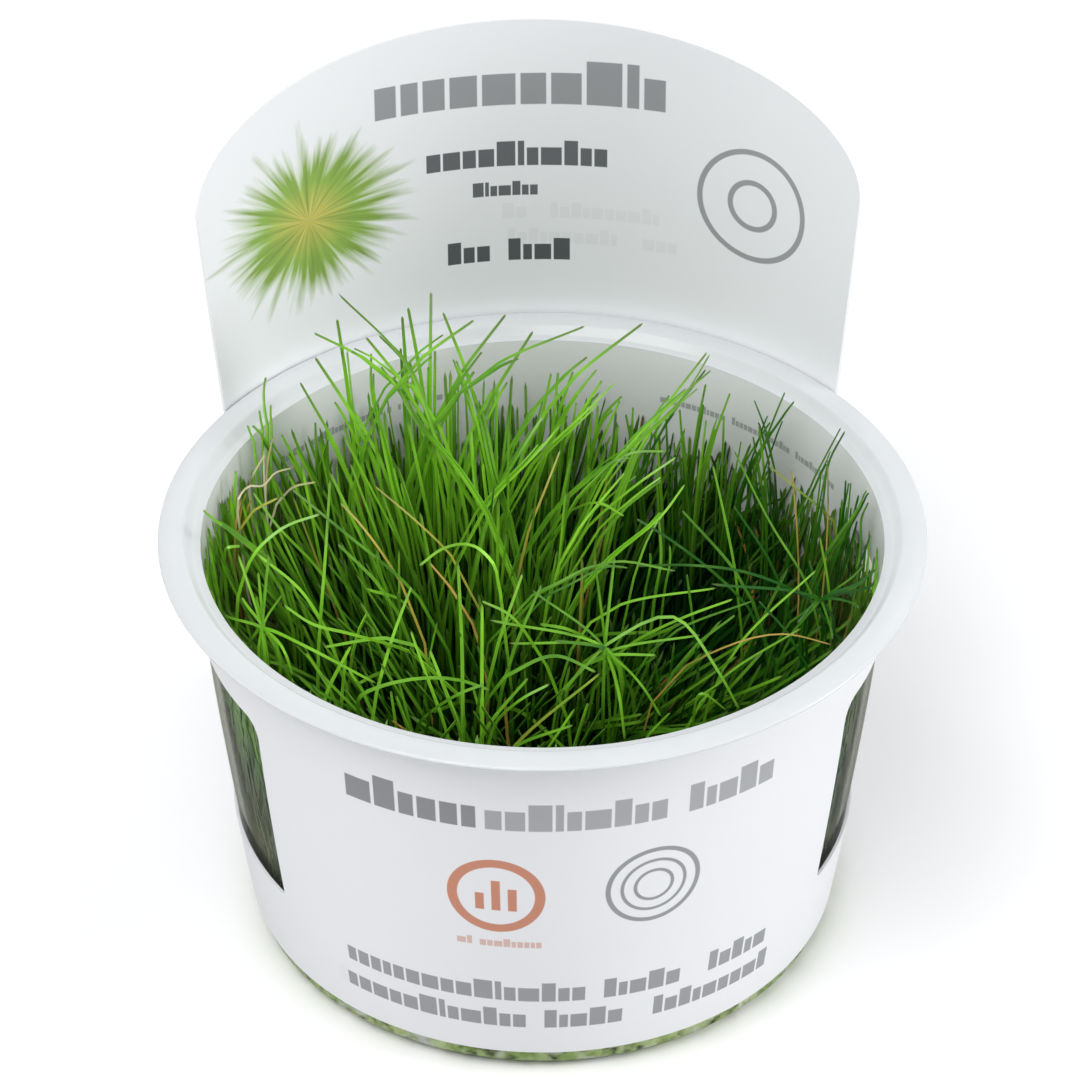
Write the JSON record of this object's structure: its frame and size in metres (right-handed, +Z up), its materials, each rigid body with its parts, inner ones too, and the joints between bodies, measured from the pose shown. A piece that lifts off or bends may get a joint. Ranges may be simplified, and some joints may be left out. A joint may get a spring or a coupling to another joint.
{
  "type": "dwarf hairgrass in a tissue-culture cup",
  "caption": "Round translucent plastic cup full of thread-leaved hairgrass tufts rooted in jelly, in a white sleeve with side windows and a tall arched tab behind the rim.",
  "frame": {"origin": "centre of the cup's flat base", "axes": "+Z up through the cup, -Y to the front of the sleeve, the tab at +Y"},
  "size_m": [0.101, 0.1048, 0.1053],
  "materials": {
    "cup_plastic": "milky translucent, satin",
    "sleeve_card": "smooth white, soft sheen, printed in grey, orange and green",
    "gel": "clear wet jelly",
    "grass": "fresh green blades, soft gloss"
  },
  "bodies": {
    "root": {"cup": "cup_plastic", "sleeve": "sleeve_card", "gel": "gel", "tuft_01": "grass", "tuft_02": "grass", "tuft_03": "grass", "tuft_04": "grass", "tuft_05": "grass", "tuft_06": "grass", "tuft_07": "grass", "tuft_08": "grass", "tuft_09": "grass", "tuft_10": "grass", "tuft_11": "grass", "tuft_12": "grass", "tuft_13": "grass", "tuft_14": "grass", "tuft_15": "grass", "tuft_16": "grass", "tuft_17": "grass", "tuft_18": "grass", "tuft_19": "grass", "tuft_20": "grass", "tuft_21": "grass", "tuft_22": "grass", "tuft_23": "grass", "tuft_24": "grass", "tuft_25": "grass", "tuft_26": "grass", "tuft_27": "grass", "tuft_28": "grass", "tuft_29": "grass", "tuft_30": "grass", "tuft_31": "grass", "tuft_32": "grass", "tuft_33": "grass", "tuft_34": "grass", "tuft_35": "grass", "tuft_36": "grass", "tuft_37": "grass"}
  },
  "joints": []
}
